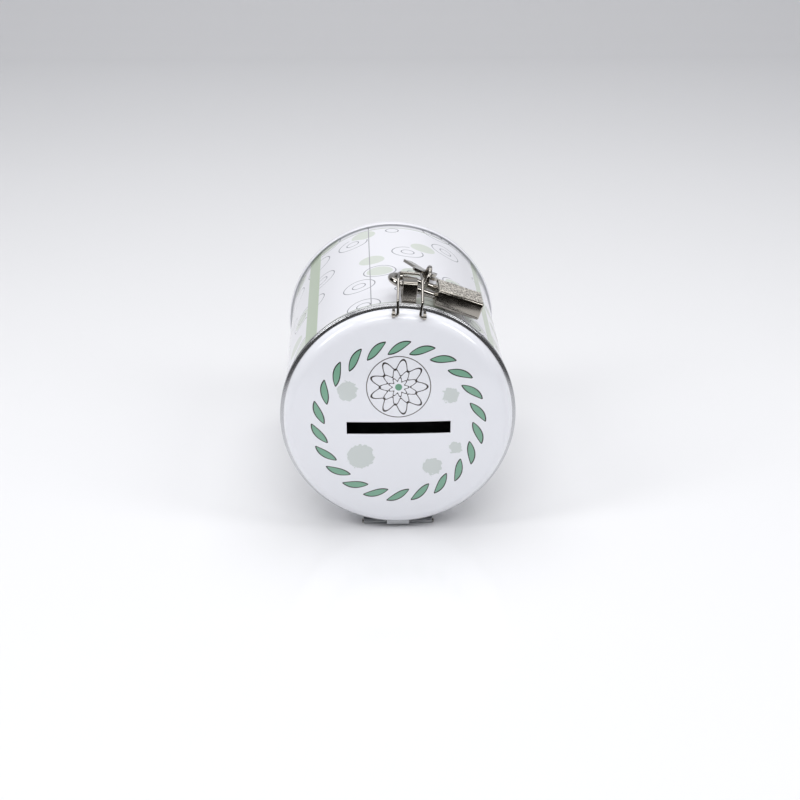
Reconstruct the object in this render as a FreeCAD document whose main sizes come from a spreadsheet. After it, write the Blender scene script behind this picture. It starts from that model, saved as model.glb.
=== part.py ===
import FreeCAD, Part
import Sketcher
import math
import os
from FreeCAD import Vector, Rotation, Placement

# Tin money box lying on its side: +X right, +Y from the lid to the base, +Z up, millimetres.
# Pieces are drawn about the can's axis with the rim plane at y = 0, then set down on z = 0.

DIMENSIONS = [
    ("can_length", 104.6),        # rim plane to the foot of the base seam
    ("wall_r", 42.3),             # outside of the printed wall
    ("sheet", 0.4),               # tinplate
    ("bead_proud", 1.2),          # rolled edges stand out from the wall
    ("bead_r", "=wall_r + bead_proud"),  # outside of the mouth bead, lid edge and base seam
    ("bead_wire_r", 0.75),        # half the thickness of a rolled edge
    ("rim_gap", 0.1),             # lid edge to can bead
    ("base_recess", 2.6),         # base panel above the foot of its seam
    ("seam_wall", 1.0),           # thickness of the folded base seam
    ("seam_height", 3.2),
    ("panel_gap", 0.02),          # pressed pieces that bear on each other
    ("lid_step", 0.1),            # cap's side inside the wall's line
    ("lid_r", "=wall_r - lid_step"),  # outside of the cap's side
    ("lid_side", 2.0),            # rim plane to the start of the shoulder
    ("lid_shoulder", 4.5),        # shoulder radius
    ("lid_rise", 2.2),            # crown of the face above the shoulder
    ("collar_gap", 0.5),          # collar to can wall
    ("collar_depth", 6.0),
    ("slot_length", 38.0),
    ("slot_width", 4.8),
    ("slot_drop", 1.5),           # slot below the lid's centre
    ("hinge_length", 26.0),
    ("hinge_r", 0.9),             # outside of a knuckle
    ("hinge_back", 1.5),          # axis behind the rim plane
    ("hinge_clear", 0.1),         # knuckle below the bead
    ("hinge_pin_r", 0.45),
    ("hinge_fit", 0.05),          # pin to knuckle, radial
    ("hinge_end_gap", 0.3),       # between knuckles
    ("leaf", 0.5),                # leaf thickness
    ("can_leaf_reach", 9.0),
    ("leaf_angle", 36.0),         # share of the round that a leaf covers, degrees
    ("rivet_r", 1.0),
    ("rivet_head_r", 1.9),
    ("rivet_head", 0.6),
    ("hasp_angle", 5.3),          # hasp to the right of the top
    ("staple_width", 5.3),
    ("staple_strip", 0.8),
    ("staple_front", 2.5),        # front face behind the rim plane
    ("staple_span", 7.5),         # front face to back face
    ("staple_tail", 9.0),         # riveted tail behind the bridge
    ("tunnel_gap", 0.25),          # shackle to the bridge's underside
    ("padlock_slope", 14.2),      # padlock against the tangent at the hasp
    ("rest_gap", 0.4),            # padlock to the wall that it lies on
    ("shackle_r", 1.3),
    ("shackle_span", 9.2),        # between the legs' axes
    ("bend_reach", 2.25),         # bend's centre to the left of the staple's middle
    ("body_start", 10.2),         # case beyond the staple's middle
    ("body_height", 17.3),
    ("body_width", 14.0),
    ("body_thick", 6.8),
    ("body_round", 1.5),
    ("case_sheet", 0.6),
    ("case_fit", 0.05),
    ("cap_thick", 0.8),
    ("long_leg", 12.0),           # length inside the case
    ("short_leg", 3.6),
    ("leg_fit", 0.08),
    ("plug_r", 2.2),
    ("plug_length", 7.0),
    ("plug_fit", 0.06),
    ("key_way", 0.9),
    ("latch_size", 2.0),
    ("latch_length", 2.0),
    ("latch_gap", 0.2),
    ("latch_travel", 1.0),
    ("bail_wire_r", 0.5),
    ("bail_half_width", 4.4),
    ("bail_pivot_front", 5.9),    # pivot before the rim plane
    ("bail_pivot_drop", 1.0),     # pivot below the cap's side
    ("bail_pivot_r", "=lid_r - bail_pivot_drop"),
    ("bail_over_bead", 2.8),      # wire's shoulder above the bead
    ("bail_clear", 0.8),         # wire above the shackle
    ("bail_back_gap", 1.3),       # crossbar behind the staple
    ("bail_bend", 1.4),
    ("bail_tip_bend", 0.6),       # where the ends turn out into the lugs
    ("lug_thick", 1.0),
    ("lug_r", 1.15),
    ("lug_gap", 0.2),
    ("ring_r", 4.6),
    ("ring_wire_r", 0.45),
    ("ring_lift", 1.9),           # ring's centre above the shackle's plane
    ("ring_from_staple", 6.4),
    ("key_thick", 1.0),
    ("bow_r", 4.6),
    ("bow_hole_r", 1.6),
    ("blade_length", 14.0),
    ("blade_width", 3.4),
    ("key_tilt", 11.0),           # keys slope down to the can, degrees
    ("key_fan", 15.0),            # each key to its own side, degrees
    ("key_gap", 0.25),
    ("bow_offset", 2.2),          # hole to the middle of the bow
]

doc = FreeCAD.newDocument("tin_money_box")
sheet = doc.addObject("Spreadsheet::Sheet", "Sheet")
for row, (alias, value) in enumerate(DIMENSIONS, start=1):
    sheet.set("A%d" % row, alias)
    sheet.set("B%d" % row, str(value))
    sheet.setAlias("B%d" % row, alias)
doc.recompute()

NODES = []
SHIFT = "(-(Sheet.can_length - Sheet.lid_side - Sheet.lid_shoulder - Sheet.lid_rise) / 2)"
AXIS_Z = "(Sheet.bead_r + Sheet.hinge_clear + 2 * Sheet.hinge_r)"
SHACKLE_R = "((Sheet.wall_r + Sheet.rest_gap + Sheet.body_thick / 2) / cos(Sheet.padlock_slope * 1deg))"
SHACKLE_Y = "(Sheet.staple_front + Sheet.staple_span / 2 + Sheet.staple_strip / 4)"
STAPLE_FOOT = "(Sheet.wall_r + Sheet.panel_gap)"
STAPLE_TOP = ("(" + SHACKLE_R + " + Sheet.shackle_r / cos(Sheet.padlock_slope * 1deg)"
              " + Sheet.staple_width / 2 * tan(Sheet.padlock_slope * 1deg)"
              " + Sheet.tunnel_gap + Sheet.staple_strip)")


def cell(alias):
    return float(sheet.get(alias))


def bind(obj, **expressions):
    for name, expression in expressions.items():
        obj.setExpression(name.replace("__", "."), expression)


def place(obj, x="0", y="0", z="0"):
    bind(obj, Placement__Base__x=x, Placement__Base__y=y, Placement__Base__z=z)
    return obj


def primitive(kind, name, at=("0", "0", "0"), turn=None, **sizes):
    obj = doc.addObject("Part::" + kind, name)
    if turn:
        obj.Placement.Rotation = Rotation(*turn)
    bind(obj, **sizes)
    return place(obj, *at)


def join(name, *pieces):
    obj = doc.addObject("Part::MultiFuse", name)
    obj.Shapes = list(pieces)
    return obj


def cut(name, base, tool):
    obj = doc.addObject("Part::Cut", name)
    obj.Base = base
    obj.Tool = tool
    return obj


def on_can(obj, label):
    obj.Label = label
    place(obj, "0", SHIFT, AXIS_Z)
    NODES.append(obj)
    return obj


def on_hasp(obj, label):
    obj.Label = label
    obj.Placement.Rotation = Rotation(Vector(0, 1, 0), 1)
    bind(obj, Placement__Rotation__Angle="Sheet.hasp_angle * 1deg")
    place(obj, "0", SHIFT, AXIS_Z)
    NODES.append(obj)
    return obj


def on_padlock(obj, label):
    obj.Label = label
    obj.Placement.Rotation = Rotation(Vector(0, 1, 0), 1)
    bind(obj, Placement__Rotation__Angle="(Sheet.hasp_angle + Sheet.padlock_slope) * 1deg")
    place(obj, SHACKLE_R + " * sin(Sheet.hasp_angle * 1deg)",
          SHIFT + " + " + SHACKLE_Y,
          AXIS_Z + " + " + SHACKLE_R + " * cos(Sheet.hasp_angle * 1deg)")
    NODES.append(obj)
    return obj


def revolved(name, points):
    # Closed profile of (radius, y) expressions, turned about the can's axis.
    body = doc.addObject("PartDesign::Body", name)
    sketch = body.newObject("Sketcher::SketchObject", name + "_profile")
    plane = [item for item in body.Origin.OriginFeatures if item.Role == "XY_Plane"][0]
    sketch.AttachmentSupport = (plane, "")
    sketch.MapMode = "FlatFace"
    corners = [Vector(evaluate(radius), evaluate(y), 0) for radius, y in points]
    for index, corner in enumerate(corners):
        sketch.addGeometry(Part.LineSegment(corner, corners[(index + 1) % len(corners)]), False)
    for index in range(len(corners)):
        following = (index + 1) % len(corners)
        sketch.addConstraint(Sketcher.Constraint("Coincident", index, 2, following, 1))
    for index, (radius, y) in enumerate(points):
        across = sketch.addConstraint(Sketcher.Constraint("DistanceX", -1, 1, index, 1, corners[index].x))
        along = sketch.addConstraint(Sketcher.Constraint("DistanceY", -1, 1, index, 1, corners[index].y))
        sketch.setExpression("Constraints[%d]" % across, radius)
        sketch.setExpression("Constraints[%d]" % along, y)
    turn = body.newObject("PartDesign::Revolution", name + "_turn")
    turn.Profile = sketch
    turn.ReferenceAxis = (sketch, ["V_Axis"])
    turn.Angle = 360
    return body


def evaluate(expression):
    return float(sheet.evalExpression(expression))


def can_body():
    wall = revolved("can_wall", [
        ("Sheet.wall_r", "Sheet.rim_gap / 2"),
        ("Sheet.wall_r", "Sheet.can_length - Sheet.seam_height"),
        ("Sheet.wall_r - Sheet.sheet", "Sheet.can_length - Sheet.seam_height"),
        ("Sheet.wall_r - Sheet.sheet", "Sheet.rim_gap / 2"),
    ])
    bead = primitive("Torus", "mouth_bead", turn=(Vector(1, 0, 0), 90),
                     at=("0", "Sheet.bead_wire_r + Sheet.rim_gap / 2", "0"),
                     Radius1="Sheet.bead_r - Sheet.bead_wire_r", Radius2="Sheet.bead_wire_r")
    on_can(join("can_body_joined", wall, bead), "can_body")


def can_base():
    seam_y = "Sheet.can_length - Sheet.seam_height"
    panel_y = "Sheet.can_length - Sheet.base_recess"
    on_can(revolved("can_base_pressing", [
        ("0", panel_y + " - Sheet.sheet"),
        ("Sheet.wall_r - Sheet.sheet", panel_y + " - Sheet.sheet"),
        ("Sheet.wall_r - Sheet.sheet", seam_y + " + Sheet.panel_gap"),
        ("Sheet.bead_r", seam_y + " + Sheet.panel_gap"),
        ("Sheet.bead_r", "Sheet.can_length"),
        ("Sheet.bead_r - Sheet.seam_wall", "Sheet.can_length"),
        ("Sheet.bead_r - Sheet.seam_wall", panel_y),
        ("0", panel_y),
    ]), "can_base")


def cap(name, less):
    # Cap with a cylindrical side, a round shoulder and a low crowned face, one sheet thick.
    radius = "(Sheet.lid_r - %s)" % less
    shoulder = "(Sheet.lid_shoulder - %s)" % less
    inner = "(Sheet.lid_r - Sheet.lid_shoulder)"
    crown = "((" + inner + "^2 + Sheet.lid_rise^2) / (2 * Sheet.lid_rise))"
    side = primitive("Cylinder", name + "_side", turn=(Vector(1, 0, 0), 90),
                     at=("0", "-Sheet.bead_wire_r", "0"), Radius=radius,
                     Height="Sheet.lid_side - Sheet.bead_wire_r")
    rounded = primitive("Torus", name + "_shoulder", turn=(Vector(1, 0, 0), 90),
                        at=("0", "-Sheet.lid_side", "0"), Radius1=inner, Radius2=shoulder)
    fill = primitive("Cylinder", name + "_fill", turn=(Vector(1, 0, 0), 90),
                     at=("0", "-Sheet.bead_wire_r", "0"), Radius=inner,
                     Height="Sheet.lid_side - Sheet.bead_wire_r + " + shoulder)
    ball = primitive("Sphere", name + "_ball",
                     at=("0", crown + " - Sheet.lid_side - Sheet.lid_shoulder - Sheet.lid_rise", "0"),
                     Radius=crown + " - " + less)
    reach = primitive("Cylinder", name + "_reach", turn=(Vector(1, 0, 0), 90),
                      at=("0", "-Sheet.lid_side", "0"), Radius=inner, Height="3 * Sheet.lid_shoulder")
    dome = doc.addObject("Part::Common", name + "_dome")
    dome.Base = ball
    dome.Tool = reach
    whole = join(name + "_whole", side, rounded, fill, dome)
    behind = primitive("Cylinder", name + "_behind", turn=(Vector(1, 0, 0), 90),
                       at=("0", "4 * Sheet.lid_shoulder - Sheet.bead_wire_r", "0"),
                       Radius="2 * Sheet.lid_r", Height="4 * Sheet.lid_shoulder")
    return cut(name, whole, behind)


def lid_shell():
    shell = cut("lid_sheet", cap("cap_outside", "0"), cap("cap_inside", "Sheet.sheet"))
    edge = primitive("Torus", "lid_edge", turn=(Vector(1, 0, 0), 90),
                     at=("0", "-Sheet.bead_wire_r - Sheet.rim_gap / 2", "0"),
                     Radius1="Sheet.bead_r - Sheet.bead_wire_r", Radius2="Sheet.bead_wire_r")
    slot = primitive("Box", "coin_slot",
                     at=("-Sheet.slot_length / 2", "-4 * Sheet.lid_shoulder",
                         "-Sheet.slot_drop - Sheet.slot_width / 2"),
                     Length="Sheet.slot_length", Width="4 * Sheet.lid_shoulder",
                     Height="Sheet.slot_width")
    on_can(cut("lid_slotted", join("lid_rolled", shell, edge), slot), "lid_shell")


def lid_collar():
    plug = "(Sheet.wall_r - Sheet.sheet - Sheet.collar_gap)"
    flange = "(Sheet.lid_r - Sheet.sheet - Sheet.panel_gap)"
    step = "(-Sheet.bead_wire_r - Sheet.panel_gap)"
    on_can(revolved("collar_ring", [
        (flange, "-Sheet.lid_side"),
        (flange, step),
        (plug, step),
        (plug, "Sheet.collar_depth"),
        (plug + " - Sheet.sheet", "Sheet.collar_depth"),
        (plug + " - Sheet.sheet", "-Sheet.lid_side"),
    ]), "lid_collar")


HINGE_Y = "Sheet.hinge_back"
HINGE_Z = "(-Sheet.bead_r - Sheet.hinge_clear - Sheet.hinge_r)"
KNUCKLE = "((Sheet.hinge_length - 2 * Sheet.hinge_end_gap) / 3)"


def knuckle(name, start):
    return primitive("Cylinder", name, turn=(Vector(0, 1, 0), 90), at=(start, HINGE_Y, HINGE_Z),
                     Radius="Sheet.hinge_r", Height=KNUCKLE)


def bored(name, solid):
    bore = primitive("Cylinder", name + "_bore", turn=(Vector(0, 1, 0), 90),
                     at=("-Sheet.hinge_length", HINGE_Y, HINGE_Z),
                     Radius="Sheet.hinge_pin_r + Sheet.hinge_fit", Height="2 * Sheet.hinge_length")
    return cut(name, solid, bore)


def curved_leaf(name, front, width, seat):
    # Strip rolled to the round that it lies on, centred on the underside.
    def disc(suffix, radius):
        solid = primitive("Cylinder", name + suffix, at=("0", front, "0"), Radius=radius, Height=width,
                          Angle="Sheet.leaf_angle * 1deg")
        middle = Rotation(Vector(0, 1, 0), 90 - cell("leaf_angle") / 2)
        solid.Placement.Rotation = middle.multiply(Rotation(Vector(1, 0, 0), -90))
        return solid

    return cut(name, disc("_outside", seat + " + Sheet.leaf"), disc("_inside", seat))


def round_tool(name, front, length, radius):
    return primitive("Cylinder", name, turn=(Vector(1, 0, 0), -90), at=("0", front, "0"),
                     Radius=radius, Height=length)


def hinge():
    half = "(Sheet.hinge_length / 2)"
    under = HINGE_Z + " - Sheet.hinge_r"
    riser_y = "(Sheet.bead_wire_r * 2 + Sheet.rim_gap)"
    can_seat = "(Sheet.wall_r + Sheet.panel_gap)"
    lid_seat = "(Sheet.lid_r + Sheet.panel_gap)"
    pieces = [curved_leaf("can_strip", riser_y, "Sheet.can_leaf_reach", can_seat)]
    for side, start in (("left", "-" + half), ("right", half + " - " + KNUCKLE)):
        pieces.append(knuckle("knuckle_" + side, start))
        pieces.append(primitive("Box", "can_arm_" + side, at=(start, HINGE_Y, under), Length=KNUCKLE,
                                Width=riser_y + " + Sheet.leaf + Sheet.hinge_r - " + HINGE_Y,
                                Height="Sheet.leaf"))
        pieces.append(primitive("Box", "can_riser_" + side, at=(start, riser_y + " + Sheet.hinge_r", under), Length=KNUCKLE,
                                Width="Sheet.leaf", Height="8 * Sheet.hinge_r"))
    formed = cut("can_leaf_formed", join("can_leaf_joined", *pieces),
                 round_tool("can_leaf_seat", "-Sheet.can_length", "3 * Sheet.can_length", can_seat))
    rivet_holes = []
    rivet_pieces = []
    for side in (-1, 1):
        turned = Rotation(Vector(0, 1, 0), 180 + side * cell("leaf_angle") / 4)
        middle = turned.multVec(Vector(0, 0, 1))
        for kind, radius, start, length in (
                ("shank", "Sheet.rivet_r", can_seat, "Sheet.leaf"),
                ("head", "Sheet.rivet_head_r", can_seat + " + Sheet.leaf", "Sheet.rivet_head")):
            rod = doc.addObject("Part::Cylinder", "can_rivet_%s_%d" % (kind, side + 1))
            rod.Placement.Rotation = turned
            bind(rod, Radius=radius, Height=length)
            place(rod, "%r * (%s)" % (middle.x, start), riser_y + " + Sheet.can_leaf_reach * 0.55",
                  "%r * (%s)" % (middle.z, start))
            rivet_pieces.append(rod)
        hole = doc.addObject("Part::Cylinder", "can_rivet_hole_%d" % (side + 1))
        hole.Placement.Rotation = turned
        bind(hole, Radius="Sheet.rivet_r", Height="2 * Sheet.leaf")
        place(hole, "%r * (%s - Sheet.leaf / 2)" % (middle.x, can_seat),
              riser_y + " + Sheet.can_leaf_reach * 0.55", "%r * (%s - Sheet.leaf / 2)" % (middle.z, can_seat))
        rivet_holes.append(hole)
    drilled = cut("can_leaf_drilled", formed, join("can_rivet_holes", *rivet_holes))
    on_can(bored("can_leaf_bored", drilled), "hinge_can_leaf")
    on_can(join("can_rivet_pair", *rivet_pieces), "hinge_rivets")

    # The lid's leaf is soldered under its rolled edge and reaches back to the middle knuckle.
    lid_y = "(-2 * Sheet.bead_wire_r)"
    edge_seat = "(Sheet.bead_r + Sheet.panel_gap)"
    middle_start = "-" + KNUCKLE + " / 2"
    pieces = [
        knuckle("knuckle_middle", middle_start),
        primitive("Box", "lid_arm", at=(middle_start, lid_y, HINGE_Z), Length=KNUCKLE,
                  Width="2 * Sheet.bead_wire_r + " + HINGE_Y, Height="Sheet.leaf + Sheet.hinge_clear"),
        primitive("Box", "lid_pad", at=(middle_start, lid_y, HINGE_Z), Length=KNUCKLE,
                  Width="2 * Sheet.bead_wire_r - Sheet.rim_gap", Height="3 * Sheet.hinge_r"),
    ]
    edge_tool = primitive("Torus", "lid_leaf_seat", turn=(Vector(1, 0, 0), 90),
                          at=("0", "-Sheet.bead_wire_r - Sheet.rim_gap / 2", "0"),
                          Radius1="Sheet.bead_r - Sheet.bead_wire_r",
                          Radius2="Sheet.bead_wire_r + Sheet.panel_gap")
    inner_tool = round_tool("lid_leaf_limit", "-Sheet.can_length", "3 * Sheet.can_length",
                            "Sheet.bead_r - Sheet.bead_wire_r")
    shaped = cut("lid_leaf_formed", join("lid_leaf_joined", *pieces), join("lid_leaf_tools", edge_tool, inner_tool))
    on_can(bored("lid_leaf_bored", shaped), "hinge_lid_leaf")

    rod = primitive("Cylinder", "hinge_pin_rod", turn=(Vector(0, 1, 0), 90), at=("-" + half, HINGE_Y, HINGE_Z),
                    Radius="Sheet.hinge_pin_r", Height="Sheet.hinge_length")
    ends = []
    for side, start in (("left", "-" + half + " - Sheet.rivet_head - Sheet.panel_gap"),
                        ("right", half + " + Sheet.panel_gap")):
        ends.append(primitive("Cylinder", "pin_head_" + side, turn=(Vector(0, 1, 0), 90),
                              at=(start, HINGE_Y, HINGE_Z), Radius="Sheet.hinge_r - Sheet.rim_gap",
                              Height="Sheet.rivet_head"))
    bind(rod, Height="Sheet.hinge_length + 2 * Sheet.panel_gap + Sheet.rivet_head")
    place(rod, "-" + half + " - Sheet.panel_gap - Sheet.rivet_head / 2", HINGE_Y, HINGE_Z)
    on_can(join("hinge_pin_whole", rod, *ends), "hinge_pin")


def staple():
    front = "Sheet.staple_front"
    back = "(Sheet.staple_front + Sheet.staple_span)"
    left = "-Sheet.staple_width / 2"
    strips = [
        primitive("Box", "staple_base", at=(left, front, STAPLE_FOOT), Length="Sheet.staple_width",
                  Width="Sheet.staple_span + Sheet.staple_tail", Height="Sheet.staple_strip"),
        primitive("Box", "staple_front_leg", at=(left, front, STAPLE_FOOT), Length="Sheet.staple_width",
                  Width="Sheet.staple_strip", Height=STAPLE_TOP + " - " + STAPLE_FOOT),
        primitive("Box", "staple_back_leg", at=(left, back + " - Sheet.staple_strip", STAPLE_FOOT),
                  Length="Sheet.staple_width", Width="Sheet.staple_strip",
                  Height=STAPLE_TOP + " - " + STAPLE_FOOT),
        primitive("Box", "staple_bridge", at=(left, front, STAPLE_TOP + " - Sheet.staple_strip"),
                  Length="Sheet.staple_width", Width="Sheet.staple_span", Height="Sheet.staple_strip"),
    ]
    on_hasp(join("staple_bent", *strips), "hasp_staple")
    head_r = STAPLE_FOOT + " + Sheet.staple_strip"
    heads = []
    for index, share in enumerate((0.3, 0.75)):
        y = "%s + %g * Sheet.staple_tail" % (back, share)
        heads.append(primitive("Cylinder", "staple_rivet_%d" % index, at=("0", y, head_r),
                               Radius="Sheet.rivet_head_r - Sheet.leaf", Height="Sheet.rivet_head"))
    on_hasp(join("staple_rivet_pair", *heads), "staple_rivets")


def pipe(path, radius):
    start = path.Edges[0].Vertexes[0].Point if path.Edges[0].Orientation == "Forward" else \
        path.Edges[0].Vertexes[-1].Point
    tangent = path.Edges[0].tangentAt(path.Edges[0].FirstParameter)
    ring = Part.Wire(Part.makeCircle(radius, start, tangent))
    return path.makePipeShell([ring], True, True)


def rounded_path(points, bends):
    # Straight runs joined by tangent arcs, one radius for each corner.
    edges = []
    last = points[0]
    for before, corner, after, radius in zip(points, points[1:], points[2:], bends):
        one = (before - corner).normalize()
        two = (after - corner).normalize()
        half = one.getAngle(two) / 2
        back = radius / math.tan(half)
        first = corner + one * back
        second = corner + two * back
        middle_way = (one + two).normalize()
        middle = corner + middle_way * (radius / math.sin(half) - radius)
        edges.append(Part.LineSegment(last, first).toShape())
        edges.append(Part.Arc(first, middle, second).toShape())
        last = second
    edges.append(Part.LineSegment(last, points[-1]).toShape())
    return Part.Wire(edges)


def bail():
    wide = cell("bail_half_width")
    wire_r = cell("bail_wire_r")
    slope = math.radians(cell("padlock_slope"))
    leg_y = evaluate(SHACKLE_Y)
    over = (evaluate(SHACKLE_R) + wide * math.tan(slope) + cell("shackle_r") / math.cos(slope)
            + cell("bail_clear") + wire_r)
    back_y = cell("staple_front") + cell("staple_span") + cell("bail_back_gap") + wire_r
    tip = wide + wire_r + cell("lug_gap") * 2 + cell("lug_thick")
    pivot = (-cell("bail_pivot_front"), cell("bail_pivot_r"))
    shoulder = (-cell("bail_pivot_front") + wire_r, cell("bead_r") + cell("bail_over_bead"))
    half = [Vector(tip, *pivot), Vector(wide, *pivot), Vector(wide, *shoulder),
            Vector(wide, leg_y - cell("shackle_r"), over), Vector(wide, back_y, over)]
    mirrored = [Vector(-point.x, point.y, point.z) for point in reversed(half)]
    bends = [cell("bail_tip_bend")] + 6 * [cell("bail_bend")] + [cell("bail_tip_bend")]
    loop = doc.addObject("Part::Feature", "bail_wire")
    loop.Shape = pipe(rounded_path(half + mirrored, bends), wire_r)
    on_hasp(loop, "hasp_bail")
    lugs = []
    for side in (-1, 1):
        inner = "%d * (Sheet.bail_half_width + Sheet.bail_wire_r + Sheet.lug_gap)" % side
        start = inner if side > 0 else inner + " - Sheet.lug_thick"
        eye = primitive("Cylinder", "lug_eye_%d" % (side + 1), turn=(Vector(0, 1, 0), 90),
                        at=(start, "-Sheet.bail_pivot_front", "Sheet.bail_pivot_r"),
                        Radius="Sheet.lug_r", Height="Sheet.lug_thick")
        stem = primitive("Box", "lug_stem_%d" % (side + 1),
                         at=(start, "-Sheet.bail_pivot_front", "Sheet.bail_pivot_r - Sheet.lug_r"),
                         Length="Sheet.lug_thick", Width="Sheet.bail_pivot_front - Sheet.lid_side - 2 * Sheet.sheet",
                         Height="2 * Sheet.lug_r")
        hole = primitive("Cylinder", "lug_hole_%d" % (side + 1), turn=(Vector(0, 1, 0), 90),
                         at=("-2 * Sheet.bail_half_width", "-Sheet.bail_pivot_front", "Sheet.bail_pivot_r"),
                         Radius="Sheet.bail_wire_r + Sheet.hinge_fit", Height="4 * Sheet.bail_half_width")
        lugs.append(cut("lug_%d" % (side + 1), join("lug_solid_%d" % (side + 1), eye, stem), hole))
    seated = cut("lugs_seated", join("lug_pair", *lugs), cap("lug_seat", "(-Sheet.panel_gap)"))
    on_hasp(seated, "bail_lugs")


MIDDLE_Y = "(Sheet.shackle_span / 2)"
CASE_END = "(Sheet.body_start + Sheet.body_height)"
LINING = "(Sheet.case_sheet + Sheet.case_fit)"


def along(name, start, y, radius, length):
    return primitive("Cylinder", name, turn=(Vector(0, 1, 0), 90), at=(start, y, "0"),
                     Radius=radius, Height=length)


def slab(name, start, end, inset):
    return primitive("Box", name,
                     at=(start, MIDDLE_Y + " - Sheet.body_width / 2 + " + inset,
                         "-Sheet.body_thick / 2 + " + inset),
                     Length=end + " - (" + start + ")", Width="Sheet.body_width - 2 * " + inset,
                     Height="Sheet.body_thick - 2 * " + inset)


def leg_holes(name, start, length):
    radius = "Sheet.shackle_r + Sheet.leg_fit"
    return join(name, along(name + "_front", start, "0", radius, length),
                along(name + "_rear", start, "Sheet.shackle_span", radius, length))


def padlock():
    legs = [
        along("short_leg_rod", "-Sheet.bend_reach", "0", "Sheet.shackle_r",
              "Sheet.body_start + Sheet.short_leg + Sheet.bend_reach"),
        along("long_leg_rod", "-Sheet.bend_reach", "Sheet.shackle_span", "Sheet.shackle_r",
              "Sheet.body_start + Sheet.long_leg + Sheet.bend_reach"),
    ]
    bend = primitive("Torus", "shackle_bend", turn=(Vector(0, 0, 1), 90),
                     at=("-Sheet.bend_reach", MIDDLE_Y, "0"),
                     Radius1=MIDDLE_Y, Radius2="Sheet.shackle_r")
    bend.Angle3 = 180
    on_padlock(join("shackle_bow", bend, *legs), "shackle")

    block = slab("case_block", "Sheet.body_start", CASE_END, "0")
    doc.recompute()
    rounded = doc.addObject("Part::Fillet", "case_rounded")
    rounded.Base = block
    long_edges = [index for index, edge in enumerate(block.Shape.Edges, start=1)
                  if abs(edge.tangentAt(edge.FirstParameter).x) > 0.9]
    rounded.Edges = [(index, cell("body_round"), cell("body_round")) for index in long_edges]
    hollow = slab("case_hollow", "(Sheet.body_start + Sheet.case_sheet)", "(" + CASE_END + " + 1)", "Sheet.case_sheet")
    holes = leg_holes("case_leg_holes", "(Sheet.body_start - 1)", "Sheet.case_sheet + 2")
    on_padlock(cut("case_drilled", cut("case_shell", rounded, hollow), holes), "padlock_case")

    cap = slab("cap_plate", CASE_END + " - Sheet.cap_thick", CASE_END, LINING)
    mouth = along("cap_mouth", CASE_END + " - 2 * Sheet.cap_thick", MIDDLE_Y, "Sheet.plug_r + Sheet.plug_fit",
                  "4 * Sheet.cap_thick")
    on_padlock(cut("cap_bored", cap, mouth), "padlock_cap")

    core_start = "(Sheet.body_start + " + LINING + ")"
    core_end = "(" + CASE_END + " - Sheet.cap_thick - Sheet.case_fit)"
    core = slab("core_block", core_start, core_end, LINING)
    bores = leg_holes("core_leg_holes", "(Sheet.body_start - 1)", "Sheet.long_leg + 2")
    plug_start = "(" + CASE_END + " - Sheet.plug_length)"
    plug_bore = along("core_plug_bore", plug_start + " - Sheet.plug_fit", MIDDLE_Y,
                      "Sheet.plug_r + Sheet.plug_fit", "2 * Sheet.plug_length")
    latch_half = "(Sheet.latch_size / 2)"
    latch_x = "(Sheet.body_start + Sheet.short_leg - Sheet.latch_size)"
    latch_y = "(Sheet.shackle_r + Sheet.latch_gap)"
    channel = primitive("Box", "core_latch_channel",
                        at=(latch_x + " - Sheet.leg_fit", "0", "-" + latch_half + " - Sheet.leg_fit"),
                        Length="Sheet.latch_size + 2 * Sheet.leg_fit",
                        Width="Sheet.shackle_span - Sheet.shackle_r - Sheet.case_sheet",
                        Height="Sheet.latch_size + 2 * Sheet.leg_fit")
    on_padlock(cut("core_cut", core, join("core_voids", bores, plug_bore, channel)), "padlock_core")

    plug = along("plug_rod", plug_start, MIDDLE_Y, "Sheet.plug_r", "Sheet.plug_length")
    way = primitive("Box", "key_way_cut",
                    at=(plug_start + " + Sheet.cap_thick", MIDDLE_Y + " - Sheet.key_way / 2", "-0.75 * Sheet.plug_r"),
                    Length="2 * Sheet.plug_length", Width="Sheet.key_way", Height="1.5 * Sheet.plug_r")
    on_padlock(cut("plug_cut", plug, way), "lock_plug")

    bolt = primitive("Box", "latch_bolt_bar", at=(latch_x, latch_y + " + Sheet.latch_gap", "-" + latch_half),
                     Length="Sheet.latch_size", Width="Sheet.latch_length - Sheet.latch_gap",
                     Height="Sheet.latch_size")
    nose = primitive("Box", "latch_bolt_nose",
                     at=(latch_x + " + Sheet.latch_gap", latch_y, "-" + latch_half + " + Sheet.latch_gap"),
                     Length="Sheet.latch_size - 2 * Sheet.latch_gap", Width="Sheet.latch_length",
                     Height="Sheet.latch_size - 2 * Sheet.latch_gap")
    on_padlock(join("latch_bolt_whole", bolt, nose), "latch_bolt")
    channel_end = "(Sheet.shackle_span - Sheet.shackle_r - Sheet.case_sheet)"
    spring_y = "(" + latch_y + " + Sheet.latch_length)"
    middle_x = latch_x + " + " + latch_half
    coil = primitive("Cylinder", "latch_spring_coil", turn=(Vector(1, 0, 0), -90), at=(middle_x, spring_y, "0"),
                     Radius=latch_half + " - 2 * Sheet.leg_fit", Height=channel_end + " - " + spring_y)
    core_hole = primitive("Cylinder", "latch_spring_hole", turn=(Vector(1, 0, 0), -90), at=(middle_x, spring_y, "0"),
                          Radius=latch_half + " / 2", Height=channel_end + " - " + spring_y)
    on_padlock(cut("latch_spring_tube", coil, core_hole), "latch_spring")


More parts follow.
